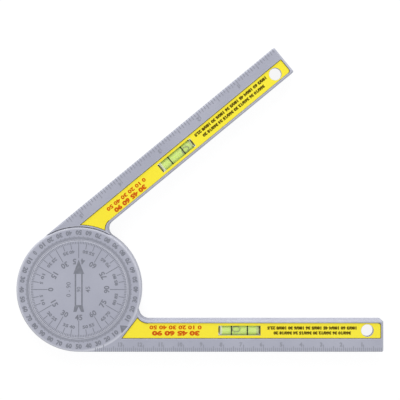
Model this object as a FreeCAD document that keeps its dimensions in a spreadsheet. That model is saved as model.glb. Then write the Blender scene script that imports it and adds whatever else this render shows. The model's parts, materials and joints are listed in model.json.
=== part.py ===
import FreeCAD, Part
import math
import os
from types import SimpleNamespace

import Sketcher

# Angle finder with two arms. The frame: the pivot is at the origin, the back rests on
# z = 0, +Z leaves the dial's face, and the scale arm points along +X. "along" is the
# distance from the pivot down an arm, "across" the distance from that arm's centre ray
# towards its ruler edge. The dial arm is modelled along +X too and then swung open.

# Driving sizes: name, value in millimetres (degrees or a count where it says so), meaning.
DRIVING_SIZES = [
    ("thickness", 9.0, "height of the arms and of the scale ring over the back"),
    ("opening_angle", 39.5, "angle between the arms in the photographed pose, degrees"),
    ("arm_length", 152.4, "pivot to the end of either arm"),
    ("arm_width", 15.65, "ruler edge to inner edge of an arm"),
    ("end_corner", 0.8, "round at the two far corners of an arm"),
    ("scale_neck", 5.0, "round where the scale arm meets the ring"),
    ("dial_neck", 4.3, "round where the dial arm meets the hub"),
    ("top_bevel", 0.6, "bevel on the top outer edges"),
    ("base_bevel", 0.3, "bevel on the bottom outer edges"),
    ("wall", 1.8, "side walls of the mouldings"),
    ("web", 2.4, "top skin of the mouldings"),
    ("rib_thickness", 1.4, "ribs on the back"),
    ("rib_setback", 0.8, "ribs stay this far above the back"),
    ("near_ribs", 2, "ribs between hub and vial, count"),
    ("far_ribs", 4, "ribs between vial and arm end, count"),
    ("rim_radius", 31.25, "outer radius of ring and hub, and the ruler edges' distance from the pivot"),
    ("ring_width", 10.25, "scale ring, from its bore to its rim"),
    ("ring_face_width", 6.6, "face of the scale ring, from the dial disc's seat to its rim"),
    ("hub_height", 3.6, "height of the hub disc"),
    ("running_gap", 0.3, "side gap between the turning mouldings"),
    ("axial_play", 0.1, "gap over and under the trapped ring"),
    ("bearing_clearance", 0.08, "radial clearance of the hub's boss in that bore"),
    ("dial_clearance", 0.1, "radial clearance of the dial disc in its seat"),
    ("dial_thickness", 2.4, "thickness of the dial disc"),
    ("dial_bevel", 0.25, "bevel round the dial disc's face"),
    ("spigot_height", 1.2, "locating collar under the dial disc"),
    ("spigot_clearance", 0.1, "radial clearance of that collar in the boss"),
    ("hub_recess", 1.2, "depth of the recess in the hub's back"),
    ("hub_core_radius", 6.0, "solid middle of the hub's back"),
    ("hub_ribs", 6, "ribs in that recess, count"),
    ("screws", 3, "screws that hold the dial disc, count"),
    ("screw_inset", 7.0, "circle of screws to the boss's bore"),
    ("screw_radius", 1.1, "screw shank"),
    ("screw_length", 5.6, "screw shank under the head"),
    ("head_radius", 2.3, "screw head"),
    ("head_height", 1.1, "screw head"),
    ("drive_depth", 0.7, "depth of the cross in the screw head"),
    ("drive_width", 0.6, "width of the cross's slots"),
    ("drive_reach", 1.3, "half length of the cross's slots"),
    ("screw_clearance", 0.3, "radial clearance of the screw in the hub"),
    ("pilot_clearance", 0.05, "radial clearance of the screw in its post"),
    ("pilot_spare", 0.5, "hole beyond the screw's tip"),
    ("post_radius", 2.6, "screw posts under the dial disc"),
    ("groove_inset", 3.0, "middle of the friction ring's groove to the ring's bore"),
    ("groove_width", 2.0, "width of that groove"),
    ("groove_depth", 1.2, "depth of that groove in the hub's top"),
    ("groove_clearance", 0.05, "side clearance of the friction ring in its groove"),
    ("ruler_width", 6.6, "ruler strip from the ruler edge to the label's recess"),
    ("label_rim", 1.0, "raised rim between the label's recess and the inner edge"),
    ("label_end_rim", 1.1, "raised rim at the arm's end"),
    ("scale_root_rim", 1.2, "ring's edge to the scale label's recess"),
    ("dial_root_rim", 0.9, "ring's edge to the dial label's recess"),
    ("label_recess", 0.6, "depth of the recess"),
    ("label_thickness", 0.2, "thickness of the label"),
    ("label_clearance", 0.1, "label's edge to the recess's wall"),
    ("label_gap", 0.35, "the same at the inner edge, where the label is put in"),
    ("label_inner_corner", 1.2, "round of the recess's corner at the inner edge"),
    ("label_outer_corner", 0.6, "round of the recess's corner at the ruler"),
    ("hang_hole_radius", 3.05, "hole for hanging the tool up"),
    ("label_hole_clearance", 0.15, "label's hole round the hang hole"),
    ("hang_hole_inset", 8.0, "hole's centre to the arm's end"),
    ("vial_along", 80.4, "pivot to the middle of the vial"),
    ("window_width", 4.9, "opening over the vial"),
    ("window_spare", 0.85, "opening beyond either end of the vial tube"),
    ("barrel_length", 19.4, "vial tube"),
    ("barrel_radius", 3.5, "vial tube"),
    ("barrel_corner", 0.5, "bevel on the tube's closed end"),
    ("barrel_depth", 0.3, "top of the tube under the label's face"),
    ("cradle_clearance", 0.05, "tube to the saddle it is glued in"),
    ("cradle_wall", 1.6, "wall round the vial on the back"),
    ("vial_bore_radius", 2.7, "tube's bore"),
    ("closed_end", 1.1, "tube's closed end"),
    ("plug_length", 1.2, "stopper"),
    ("filling_film", 0.02, "filling to the bore"),
    ("bubble_length", 5.2, "air bubble"),
    ("bubble_width", 3.4, "air bubble"),
    ("bubble_depth", 1.9, "air bubble, down from the top of the bore"),
    ("scale_bubble_shift", 1.7, "bubble from the middle towards the pivot, scale arm"),
    ("dial_bubble_shift", 5.2, "bubble from the middle towards the arm's end, dial arm"),
]


class Length:
    # A number and the formula that binds it to the sheet, so that each sum is written once.
    def __init__(self, number, formula):
        self.number = float(number)
        self.formula = formula

    def __add__(self, other):
        other = as_length(other)
        return Length(self.number + other.number, f"({self.formula} + {other.formula})")

    def __sub__(self, other):
        other = as_length(other)
        return Length(self.number - other.number, f"({self.formula} - {other.formula})")

    def __mul__(self, other):
        other = as_length(other)
        return Length(self.number * other.number, f"({self.formula} * {other.formula})")

    def __truediv__(self, other):
        other = as_length(other)
        return Length(self.number / other.number, f"({self.formula} / {other.formula})")

    def __rmul__(self, other):
        return as_length(other) * self

    def __neg__(self):
        return as_length(-1) * self


def as_length(value):
    if isinstance(value, Length):
        return value
    return Length(value, f"({value})")


def root(value):
    return Length(math.sqrt(value.number), f"sqrt({value.formula})")


def make_sheet(document):
    sheet = document.addObject("Spreadsheet::Sheet", "sizes")
    lengths = {}
    for row, (name, value, meaning) in enumerate(DRIVING_SIZES, start=1):
        sheet.set(f"A{row}", name)
        sheet.set(f"B{row}", str(value))
        sheet.set(f"C{row}", meaning)
        sheet.setAlias(f"B{row}", name)
        lengths[name] = Length(value, f"sizes.{name}")
    document.recompute()
    return SimpleNamespace(**lengths)


document = FreeCAD.newDocument("angle_finder")
s = make_sheet(document)
nothing = as_length(0)

# Levels, from the back to the face.
ring_underside = s.hub_height + s.axial_play
dial_underside = s.thickness - s.dial_thickness
ledge_level = dial_underside - s.axial_play
recess_floor = s.thickness - s.label_recess
web_underside = recess_floor - s.web

# Radii about the pivot.
bearing_radius = s.rim_radius - s.ring_width
boss_radius = bearing_radius - s.bearing_clearance
boss_bore = boss_radius - s.wall
screw_circle = boss_bore - s.screw_inset
groove_radius = bearing_radius + s.groove_inset
ledge_radius = s.rim_radius - s.ring_face_width
dial_radius = ledge_radius - s.dial_clearance
rim_clear_radius = s.rim_radius + s.running_gap
bay_root_radius = rim_clear_radius + s.wall
spigot_radius = boss_bore - s.spigot_clearance

# Lines that both arms share, as distances across the arm.
ruler_edge = s.rim_radius
inner_edge = ruler_edge - s.arm_width
label_outer = ruler_edge - s.ruler_width
label_inner = inner_edge + s.label_rim
label_middle = (label_outer + label_inner) / 2
bay_outer = ruler_edge - s.wall
bay_inner = inner_edge + s.wall

# The vial and its housing.
saddle_radius = s.barrel_radius + s.cradle_clearance
vial_axis_level = recess_floor + s.label_thickness - s.barrel_depth - s.barrel_radius
window_start = s.vial_along - s.barrel_length / 2 - s.window_spare
window_end = s.vial_along + s.barrel_length / 2 + s.window_spare
housing_start = window_start - s.cradle_wall
housing_end = window_end + s.cradle_wall
housing_outer = label_middle + saddle_radius + s.cradle_wall

# The hang hole, and the ribs spread evenly between hub, vial and hole.
hole_along = s.arm_length - s.hang_hole_inset
near_pitch = (housing_start - bay_root_radius) / (s.near_ribs + 1)
far_pitch = (hole_along - s.hang_hole_radius - housing_end) / (s.far_ribs + 1)

# Either arm: side is -1 where the ruler lies on -Y and +1 where it lies on +Y.
SCALE = SimpleNamespace(side=-1, neck=s.scale_neck, root_rim=s.scale_root_rim,
                        straight_root=True, swings=False)
DIAL = SimpleNamespace(side=1, neck=s.dial_neck, root_rim=s.dial_root_rim,
                       straight_root=False, swings=True)

# Tolerances of the script's own tests, in millimetres and cubic millimetres.
same_place = 1e-5
least_cut = 1e-3


def origin_part(body, role):
    return next(item for item in body.Origin.OriginFeatures if item.Role == role)


def new_body(label, swings=False):
    body = document.addObject("PartDesign::Body", label)
    body.Label = label
    body.AllowCompound = True
    if swings:
        body.Placement.Rotation = FreeCAD.Rotation(FreeCAD.Vector(0, 0, 1), 1)
        body.setExpression("Placement.Rotation.Angle", s.opening_angle.formula)
    return body


def new_sketch(body, name, height=None, role="XY_Plane"):
    sketch = body.newObject("Sketcher::SketchObject", f"{body.Label}_{name}")
    sketch.AttachmentSupport = (origin_part(body, role), [""])
    sketch.MapMode = "FlatFace"
    if height is not None:
        sketch.setExpression("AttachmentOffset.Base.z", height.formula)
    return sketch


def bind_constraint(sketch, constraint, formula):
    index = sketch.addConstraint(constraint)
    sketch.setExpression(f"Constraints[{index}]", formula)


def pin_point(sketch, geometry, end, x, y):
    for kind, value, axis in (("DistanceX", x, -2), ("DistanceY", y, -1)):
        if abs(value.number) < same_place:
            sketch.addConstraint(Sketcher.Constraint("PointOnObject", geometry, end, axis))
        elif value.number > 0:
            rule = Sketcher.Constraint(kind, -1, 1, geometry, end, value.number)
            bind_constraint(sketch, rule, value.formula)
        else:
            rule = Sketcher.Constraint(kind, geometry, end, -1, 1, -value.number)
            bind_constraint(sketch, rule, (-value).formula)


def draw_circle(sketch, radius, x=nothing, y=nothing):
    centre = FreeCAD.Vector(x.number, y.number, 0)
    circle = Part.Circle(centre, FreeCAD.Vector(0, 0, 1), radius.number)
    index = sketch.addGeometry(circle, False)
    pin_point(sketch, index, 3, x, y)
    bind_constraint(sketch, Sketcher.Constraint("Radius", index, radius.number), radius.formula)


def draw_outline(sketch, corners, arcs=None):
    # A closed outline through the corners. arcs maps a corner's number to the radius and
    # the centre of the arc that leaves it; every other side is straight.
    arcs = arcs or {}
    points = [FreeCAD.Vector(x.number, y.number, 0) for x, y in corners]
    sides = []
    for number, start in enumerate(points):
        end = points[(number + 1) % len(points)]
        if number in arcs:
            radius, centre_x, centre_y = arcs[number]
            centre = FreeCAD.Vector(centre_x.number, centre_y.number, 0)
            middle = centre + ((start + end) / 2 - centre).normalize() * radius.number
            curve = Part.Arc(start, middle, end)
            index = sketch.addGeometry(curve, False)
            bind_constraint(sketch, Sketcher.Constraint("Radius", index, radius.number), radius.formula)
        else:
            index = sketch.addGeometry(Part.LineSegment(start, end), False)
        forward = (sketch.getPoint(index, 1) - start).Length < (sketch.getPoint(index, 2) - start).Length
        sides.append((index, 1, 2) if forward else (index, 2, 1))
    for number, (index, first, _) in enumerate(sides):
        previous, _, last = sides[number - 1]
        sketch.addConstraint(Sketcher.Constraint("Coincident", previous, last, index, first))
        pin_point(sketch, index, first, *corners[number])
    return sides


def draw_rectangle(sketch, low_x, low_y, high_x, high_y):
    draw_outline(sketch, [(low_x, low_y), (high_x, low_y), (high_x, high_y), (low_x, high_y)])


def finish_feature(body, feature):
    body.Tip = feature
    document.recompute()
    return feature


def add_pad(body, sketch, height, downwards=False):
    pad = body.newObject("PartDesign::Pad", f"{sketch.Name}_pad")
    pad.Profile = sketch
    pad.Reversed = downwards
    pad.setExpression("Length", height.formula)
    return finish_feature(body, pad)


def add_pocket(body, sketch, depth=None, upwards=False):
    # No depth means right through.
    before = body.Shape.Volume
    pocket = body.newObject("PartDesign::Pocket", f"{sketch.Name}_pocket")
    pocket.Profile = sketch
    pocket.Reversed = upwards
    if depth is None:
        pocket.Type = "ThroughAll"
    else:
        pocket.setExpression("Length", depth.formula)
    finish_feature(body, pocket)
    if body.Shape.Volume > before - least_cut:
        raise RuntimeError(f"{pocket.Name} removes nothing")
    return pocket


def add_turned(body, sketch):
    turned = body.newObject("PartDesign::Revolution", f"{sketch.Name}_turned")
    turned.Profile = sketch
    turned.ReferenceAxis = (sketch, ["Axis0"])
    turned.Angle = 360
    return finish_feature(body, turned)


def draw_axis(sketch, start, end):
    # The construction line that a turned piece turns about.
    points = [FreeCAD.Vector(x.number, y.number, 0) for x, y in (start, end)]
    index = sketch.addGeometry(Part.LineSegment(*points), True)
    pin_point(sketch, index, 1, *start)
    pin_point(sketch, index, 2, *end)


def add_ring_of(body, features, count):
    pattern = body.newObject("PartDesign::PolarPattern", f"{features[-1].Name}_ring")
    pattern.Originals = features
    pattern.Axis = (origin_part(body, "Z_Axis"), [""])
    pattern.Angle = 360
    pattern.setExpression("Occurrences", count.formula)
    return finish_feature(body, pattern)


def add_row_of(body, feature, count, pitch, towards_pivot):
    pattern = body.newObject("PartDesign::LinearPattern", f"{feature.Name}_row")
    pattern.Originals = [feature]
    pattern.Direction = (origin_part(body, "X_Axis"), [""])
    pattern.Reversed = towards_pivot
    pattern.setExpression("Length", (pitch * (count - 1)).formula)
    pattern.setExpression("Occurrences", count.formula)
    return finish_feature(body, pattern)


def level_edges(body, level, wanted=None):
    # Names of the edges that lie in the plane z = level and pass the wanted test.
    names = []
    for number, edge in enumerate(body.Shape.Edges, start=1):
        box = edge.BoundBox
        flat = abs(box.ZMin - level.number) < same_place and abs(box.ZMax - level.number) < same_place
        if flat and (wanted is None or wanted(edge)):
            names.append(f"Edge{number}")
    return names


def soften_edges(body, kind, name, size_name, size, edge_names):
    base = body.Tip
    soft = body.newObject(f"PartDesign::{kind}", f"{body.Label}_{name}")
    soft.Base = (base, edge_names)
    soft.setExpression(size_name, size.formula)
    return finish_feature(body, soft)


def neck_centre(arm):
    # Middle of the round that runs from the arm's inner edge into the ring or hub.
    across = inner_edge - arm.neck
    reach = s.rim_radius + arm.neck
    along = root(reach * reach - across * across)
    return along, across, reach


def draw_arm(sketch, arm):
    along, across, reach = neck_centre(arm)
    inset = s.end_corner
    share = s.rim_radius / reach
    corners = [
        (nothing, arm.side * ruler_edge),
        (s.arm_length - inset, arm.side * ruler_edge),
        (s.arm_length, arm.side * (ruler_edge - inset)),
        (s.arm_length, arm.side * (inner_edge + inset)),
        (s.arm_length - inset, arm.side * inner_edge),
        (along, arm.side * inner_edge),
        (along * share, arm.side * (across * share)),
    ]
    arcs = {
        1: (inset, s.arm_length - inset, arm.side * (ruler_edge - inset)),
        3: (inset, s.arm_length - inset, arm.side * (inner_edge + inset)),
        5: (arm.neck, along, arm.side * across),
    }
    draw_outline(sketch, corners, arcs)


def draw_label(sketch, arm, inset=nothing, inner_inset=nothing):
    # The recess's outline, or the label's where it is set in from the recess's wall.
    along, across, reach = neck_centre(arm)
    outer = label_outer - inset
    inner = label_inner + inner_inset
    end = s.arm_length - s.label_end_rim - inset
    root_radius = s.rim_radius + arm.root_rim + inset
    neck_radius = arm.neck + s.label_rim + inner_inset
    # Where the neck's offset arc meets the root circle.
    outward = (root_radius * root_radius - neck_radius * neck_radius + reach * reach) / (2 * reach)
    sideways = root(root_radius * root_radius - outward * outward)
    meet_along = (outward * along - sideways * across) / reach
    meet_across = (outward * across + sideways * along) / reach
    outer_corner = s.label_outer_corner
    inner_corner = s.label_inner_corner
    corners = [
        (root(root_radius * root_radius - outer * outer), arm.side * outer),
        (end - outer_corner, arm.side * outer),
        (end, arm.side * (outer - outer_corner)),
        (end, arm.side * (inner + inner_corner)),
        (end - inner_corner, arm.side * inner),
        (along, arm.side * inner),
        (meet_along, arm.side * meet_across),
    ]
    arcs = {
        1: (outer_corner, end - outer_corner, arm.side * (outer - outer_corner)),
        3: (inner_corner, end - inner_corner, arm.side * (inner + inner_corner)),
        5: (neck_radius, along, arm.side * across),
    }
    if not arm.straight_root:
        arcs[6] = (root_radius, nothing, nothing)
    draw_outline(sketch, corners, arcs)


def cut_hang_hole(body, arm, top, spare=nothing):
    sketch = new_sketch(body, "hang_hole", top)
    radius = s.hang_hole_radius + spare
    draw_circle(sketch, radius, hole_along, arm.side * label_middle)
    add_pocket(body, sketch)


def cut_window(body, arm, top):
    sketch = new_sketch(body, "window", top)
    half = s.window_width / 2
    draw_rectangle(sketch, window_start, arm.side * label_middle - half,
                   window_end, arm.side * label_middle + half)
    add_pocket(body, sketch)


def core_arm_back(body, arm):
    # The back is cored out between the walls, round the vial's housing.
    depth = web_underside
    near = new_sketch(body, "near_bay", nothing)
    start_outer = root(bay_root_radius * bay_root_radius - bay_outer * bay_outer)
    start_inner = root(bay_root_radius * bay_root_radius - bay_inner * bay_inner)
    corners = [
        (start_outer, arm.side * bay_outer),
        (housing_start, arm.side * bay_outer),
        (housing_start, arm.side * bay_inner),
        (start_inner, arm.side * bay_inner),
    ]
    draw_outline(near, corners, {3: (bay_root_radius, nothing, nothing)})
    add_pocket(body, near, depth, upwards=True)

    beside = new_sketch(body, "beside_bay", nothing)
    draw_rectangle(beside, housing_start, arm.side * housing_outer, housing_end, arm.side * bay_outer)
    add_pocket(body, beside, depth, upwards=True)

    far = new_sketch(body, "far_bay", nothing)
    draw_rectangle(far, housing_end, arm.side * bay_inner, s.arm_length - s.wall, arm.side * bay_outer)
    add_pocket(body, far, depth, upwards=True)


def add_arm_ribs(body, arm):
    rows = (("near_rib", housing_start - near_pitch, s.near_ribs, near_pitch, True),
            ("far_rib", housing_end + far_pitch, s.far_ribs, far_pitch, False))
    for name, along, count, pitch, towards_pivot in rows:
        sketch = new_sketch(body, name, web_underside)
        half = s.rib_thickness / 2
        draw_rectangle(sketch, along - half, arm.side * bay_inner, along + half, arm.side * bay_outer)
        rib = add_pad(body, sketch, web_underside - s.rib_setback, downwards=True)
        add_row_of(body, rib, count, pitch, towards_pivot)


def cut_vial_saddle(body, arm):
    # A slot with a round roof, open to the back; the window breaks through its roof.
    slot = new_sketch(body, "vial_slot", nothing)
    draw_rectangle(slot, window_start, arm.side * label_middle - saddle_radius,
                   window_end, arm.side * label_middle + saddle_radius)
    add_pocket(body, slot, vial_axis_level, upwards=True)
    roof = new_sketch(body, "vial_saddle", window_start, role="YZ_Plane")
    draw_circle(roof, saddle_radius, arm.side * label_middle, vial_axis_level)
    add_pocket(body, roof, window_end - window_start, upwards=True)


def make_scale_arm():
    body = new_body("scale_arm")
    disc = new_sketch(body, "disc", nothing)
    draw_circle(disc, s.rim_radius)
    add_pad(body, disc, s.thickness)
    outline = new_sketch(body, "outline", nothing)
    draw_arm(outline, SCALE)
    add_pad(body, outline, s.thickness)
    soften_edges(body, "Chamfer", "top_edge", "Size", s.top_bevel, level_edges(body, s.thickness))

    under = new_sketch(body, "hub_room", nothing)
    draw_circle(under, rim_clear_radius)
    add_pocket(body, under, ring_underside, upwards=True)
    soften_edges(body, "Chamfer", "base_edge", "Size", s.base_bevel,
                 level_edges(body, nothing, lambda edge: edge.Curve.TypeId == "Part::GeomLine"))

    bore = new_sketch(body, "bore", s.thickness)
    draw_circle(bore, bearing_radius)
    add_pocket(body, bore)
    ledge = new_sketch(body, "ledge", s.thickness)
    draw_circle(ledge, ledge_radius)
    add_pocket(body, ledge, s.thickness - ledge_level)
    channel = new_sketch(body, "channel", ring_underside)
    draw_circle(channel, ledge_radius + s.wall)
    draw_circle(channel, s.rim_radius - s.wall)
    add_pocket(body, channel, s.thickness - s.web - ring_underside, upwards=True)

    core_arm_back(body, SCALE)
    add_arm_ribs(body, SCALE)
    recess = new_sketch(body, "label_recess", s.thickness)
    draw_label(recess, SCALE)
    add_pocket(body, recess, s.label_recess)
    cut_vial_saddle(body, SCALE)
    cut_window(body, SCALE, recess_floor)
    cut_hang_hole(body, SCALE, recess_floor)
    return body


def first_screw():
    # The first screw stands midway between two of the hub's ribs.
    turn = Length(math.pi / s.hub_ribs.number, f"(180 / {s.hub_ribs.formula})")
    along = Length(screw_circle.number * math.cos(turn.number),
                   f"({screw_circle.formula} * cos({turn.formula}))")
    across = Length(screw_circle.number * math.sin(turn.number),
                    f"({screw_circle.formula} * sin({turn.formula}))")
    return along, across


def draw_at_first_screw(sketch, radius):
    draw_circle(sketch, radius, *first_screw())


def make_dial_arm():
    body = new_body("dial_arm", swings=True)
    outline = new_sketch(body, "outline", nothing)
    draw_arm(outline, DIAL)
    add_pad(body, outline, s.thickness)
    room = new_sketch(body, "ring_room", s.thickness)
    draw_circle(room, rim_clear_radius)
    add_pocket(body, room, s.thickness - s.hub_height)
    neck_along = neck_centre(DIAL)[0].number
    far_side = level_edges(body, s.thickness, lambda edge: edge.BoundBox.Center.x > neck_along)
    soften_edges(body, "Chamfer", "top_edge", "Size", s.top_bevel, far_side)

    hub = new_sketch(body, "hub", nothing)
    draw_circle(hub, s.rim_radius)
    add_pad(body, hub, s.hub_height)
    soften_edges(body, "Chamfer", "base_edge", "Size", s.base_bevel, level_edges(body, nothing))

    boss = new_sketch(body, "boss", s.hub_height)
    draw_circle(boss, boss_radius)
    draw_circle(boss, boss_bore)
    add_pad(body, boss, dial_underside - s.hub_height)
    groove = new_sketch(body, "friction_groove", s.hub_height)
    draw_circle(groove, groove_radius + s.groove_width / 2)
    draw_circle(groove, groove_radius - s.groove_width / 2)
    add_pocket(body, groove, s.groove_depth)

    back = new_sketch(body, "back_recess", nothing)
    draw_circle(back, s.rim_radius - s.wall)
    draw_circle(back, s.hub_core_radius)
    add_pocket(body, back, s.hub_recess, upwards=True)
    rib_sketch = new_sketch(body, "hub_rib", s.hub_recess)
    half = s.rib_thickness / 2
    draw_rectangle(rib_sketch, s.hub_core_radius - half, -half, s.rim_radius - s.wall + half, half)
    rib = add_pad(body, rib_sketch, s.hub_recess, downwards=True)
    add_ring_of(body, [rib], s.hub_ribs)
    hole = new_sketch(body, "screw_hole", s.hub_height)
    draw_at_first_screw(hole, s.screw_radius + s.screw_clearance)
    add_ring_of(body, [add_pocket(body, hole)], s.screws)

    core_arm_back(body, DIAL)
    add_arm_ribs(body, DIAL)
    recess = new_sketch(body, "label_recess", s.thickness)
    draw_label(recess, DIAL)
    add_pocket(body, recess, s.label_recess)
    cut_vial_saddle(body, DIAL)
    cut_window(body, DIAL, recess_floor)
    cut_hang_hole(body, DIAL, recess_floor)
    return body


def make_dial_disc():
    body = new_body("dial_disc", swings=True)
    face = new_sketch(body, "face", dial_underside)
    draw_circle(face, dial_radius)
    add_pad(body, face, s.dial_thickness)
    soften_edges(body, "Chamfer", "face_edge", "Size", s.dial_bevel, level_edges(body, s.thickness))
    spigot = new_sketch(body, "spigot", dial_underside)
    draw_circle(spigot, spigot_radius)
    draw_circle(spigot, spigot_radius - s.wall)
    add_pad(body, spigot, s.spigot_height, downwards=True)
    post = new_sketch(body, "post", dial_underside)
    draw_at_first_screw(post, s.post_radius)
    post_pad = add_pad(body, post, dial_underside - s.hub_height, downwards=True)
    add_ring_of(body, [post_pad], s.screws)
    pilot = new_sketch(body, "pilot", s.hub_height)
    draw_at_first_screw(pilot, s.screw_radius + s.pilot_clearance)
    depth = s.hub_recess + s.screw_length + s.pilot_spare - s.hub_height
    add_ring_of(body, [add_pocket(body, pilot, depth, upwards=True)], s.screws)
    return body


def make_hub_screws():
    # Turned on the X axis and then moved round to the posts.
    body = new_body("hub_screws", swings=True)
    along, across = first_screw()
    seat = s.hub_recess
    tip_level = seat + s.screw_length
    profile = new_sketch(body, "profile", -across, role="XZ_Plane")
    draw_axis(profile, (along, seat), (along, tip_level))
    corners = [
        (along, seat - s.head_height),
        (along + s.head_radius, seat - s.head_height),
        (along + s.head_radius, seat),
        (along + s.screw_radius, seat),
        (along + s.screw_radius, tip_level),
        (along, tip_level),
    ]
    draw_outline(profile, corners)
    screw = add_turned(body, profile)
    cross = new_sketch(body, "drive", seat - s.head_height)
    thin = s.drive_width / 2
    long = s.drive_reach
    corners = [(long, thin), (thin, thin), (thin, long), (-thin, long), (-thin, thin), (-long, thin),
               (-long, -thin), (-thin, -thin), (-thin, -long), (thin, -long), (thin, -thin), (long, -thin)]
    draw_outline(cross, [(along + x, across + y) for x, y in corners])
    drive = add_pocket(body, cross, s.drive_depth, upwards=True)
    add_ring_of(body, [screw, drive], s.screws)
    return body


def make_friction_ring():
    body = new_body("friction_ring", swings=True)
    ring = new_sketch(body, "section", s.hub_height - s.groove_depth)
    half = s.groove_width / 2 - s.groove_clearance
    draw_circle(ring, groove_radius + half)
    draw_circle(ring, groove_radius - half)
    add_pad(body, ring, s.groove_depth + s.axial_play)
    return body


def make_label(name, arm):
    body = new_body(name, arm.swings)
    sheet = new_sketch(body, "sheet", recess_floor)
    draw_label(sheet, arm, s.label_clearance, s.label_gap)
    add_pad(body, sheet, s.label_thickness)
    top = recess_floor + s.label_thickness
    cut_window(body, arm, top)
    cut_hang_hole(body, arm, top, s.label_hole_clearance)
    return body


def make_vial_barrel(name, arm):
    body = new_body(name, arm.swings)
    sketch = new_sketch(body, "profile", vial_axis_level)
    axis = arm.side * label_middle
    start = s.vial_along - s.barrel_length / 2
    end = s.vial_along + s.barrel_length / 2
    draw_axis(sketch, (start, axis), (end, axis))
    skin = axis + s.barrel_radius
    corners = [
        (start, axis),
        (start + s.closed_end, axis),
        (start + s.closed_end, axis + s.vial_bore_radius),
        (end, axis + s.vial_bore_radius),
        (end, skin),
        (start + s.barrel_corner, skin),
        (start, skin - s.barrel_corner),
    ]
    draw_outline(sketch, corners)
    add_turned(body, sketch)
    return body


def make_vial_liquid(name, arm, bubble_shift):
    body = new_body(name, arm.swings)
    sketch = new_sketch(body, "profile", vial_axis_level)
    axis = arm.side * label_middle
    floor = s.vial_along - s.barrel_length / 2 + s.closed_end
    seat = s.vial_along + s.barrel_length / 2 - s.plug_length
    draw_axis(sketch, (floor, axis), (seat, axis))
    surface = axis + s.vial_bore_radius - s.filling_film
    draw_outline(sketch, [(floor, axis), (floor, surface), (seat, surface), (seat, axis)])
    add_turned(body, sketch)

    # The air bubble: a long drop that floats against the top of the bore.
    half_width = s.bubble_width / 2
    bore_top = vial_axis_level + s.vial_bore_radius
    middle = s.vial_along + bubble_shift
    near = middle - s.bubble_length / 2 + half_width
    far = middle + s.bubble_length / 2 - half_width
    air = new_sketch(body, "bubble", bore_top)
    corners = [
        (near, axis - half_width),
        (far, axis - half_width),
        (far, axis + half_width),
        (near, axis + half_width),
    ]
    draw_outline(air, corners)
    for centre in (near, far):
        end = new_sketch(body, f"bubble_end_{'near' if centre is near else 'far'}", bore_top)
        draw_circle(end, half_width, centre, axis)
        add_pocket(body, end, s.bubble_depth)
    add_pocket(body, air, s.bubble_depth)
    return body


def make_vial_plug(name, arm):
    body = new_body(name, arm.swings)
    sketch = new_sketch(body, "profile", vial_axis_level)
    axis = arm.side * label_middle
    end = s.vial_along + s.barrel_length / 2
    start = end - s.plug_length
    draw_axis(sketch, (start, axis), (end, axis))
    radius = s.vial_bore_radius - s.filling_film
    draw_outline(sketch, [(start, axis), (end, axis), (end, axis + radius), (start, axis + radius)])
    add_turned(body, sketch)
    return body


def check_document():
    for item in document.Objects:
        if "Invalid" in item.State or "Error" in item.State:
            raise RuntimeError(f"{item.Name} failed: {item.State}")


def write_parts(bodies):
    os.makedirs("parts", exist_ok=True)
    for body in bodies:
        shape = body.Shape
        if shape.isNull() or not shape.isValid():
            raise RuntimeError(f"{body.Label} has no valid shape")
    for body in bodies:
        body.Shape.exportStep(f"parts/{body.Label}.step")
        print(f"{body.Label}: {len(body.Shape.Solids)} solid(s), {body.Shape.Volume:.1f} mm3")


bodies = [
    make_scale_arm(),
    make_dial_arm(),
    make_dial_disc(),
    make_hub_screws(),
    make_friction_ring(),
    make_label("scale_label", SCALE),
    make_label("dial_label", DIAL),
    make_vial_barrel("scale_vial_barrel", SCALE),
    make_vial_barrel("dial_vial_barrel", DIAL),
    make_vial_liquid("scale_vial_liquid", SCALE, -s.scale_bubble_shift),
    make_vial_liquid("dial_vial_liquid", DIAL, s.dial_bubble_shift),
    make_vial_plug("scale_vial_plug", SCALE),
    make_vial_plug("dial_vial_plug", DIAL),
]
document.recompute()
check_document()
write_parts(bodies)
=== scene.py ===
import json
import math

import bmesh
import bpy
from mathutils import Matrix, Vector

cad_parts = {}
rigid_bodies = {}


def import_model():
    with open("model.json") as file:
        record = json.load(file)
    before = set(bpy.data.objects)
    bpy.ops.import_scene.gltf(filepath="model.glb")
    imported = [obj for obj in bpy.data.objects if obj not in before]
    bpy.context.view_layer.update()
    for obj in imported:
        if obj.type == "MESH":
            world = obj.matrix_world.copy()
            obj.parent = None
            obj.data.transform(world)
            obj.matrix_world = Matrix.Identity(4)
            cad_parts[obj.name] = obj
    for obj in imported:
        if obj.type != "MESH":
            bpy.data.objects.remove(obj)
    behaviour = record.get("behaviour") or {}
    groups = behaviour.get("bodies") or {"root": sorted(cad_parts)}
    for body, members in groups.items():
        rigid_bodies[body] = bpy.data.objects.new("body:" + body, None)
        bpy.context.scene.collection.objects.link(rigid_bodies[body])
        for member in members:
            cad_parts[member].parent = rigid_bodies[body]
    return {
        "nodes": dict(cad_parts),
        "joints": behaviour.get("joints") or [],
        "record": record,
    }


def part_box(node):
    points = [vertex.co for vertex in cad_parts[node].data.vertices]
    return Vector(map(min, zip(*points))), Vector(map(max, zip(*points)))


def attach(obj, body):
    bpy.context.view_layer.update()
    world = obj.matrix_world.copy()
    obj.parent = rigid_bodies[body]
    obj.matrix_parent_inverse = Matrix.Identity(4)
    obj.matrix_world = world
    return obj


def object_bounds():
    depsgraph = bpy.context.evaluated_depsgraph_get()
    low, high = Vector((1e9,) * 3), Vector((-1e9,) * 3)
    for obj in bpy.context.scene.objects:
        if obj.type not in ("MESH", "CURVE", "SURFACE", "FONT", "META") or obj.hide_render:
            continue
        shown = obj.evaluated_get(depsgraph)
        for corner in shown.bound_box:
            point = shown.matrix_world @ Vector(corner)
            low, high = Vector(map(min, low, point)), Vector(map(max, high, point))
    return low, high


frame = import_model()
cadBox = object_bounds()
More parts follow.
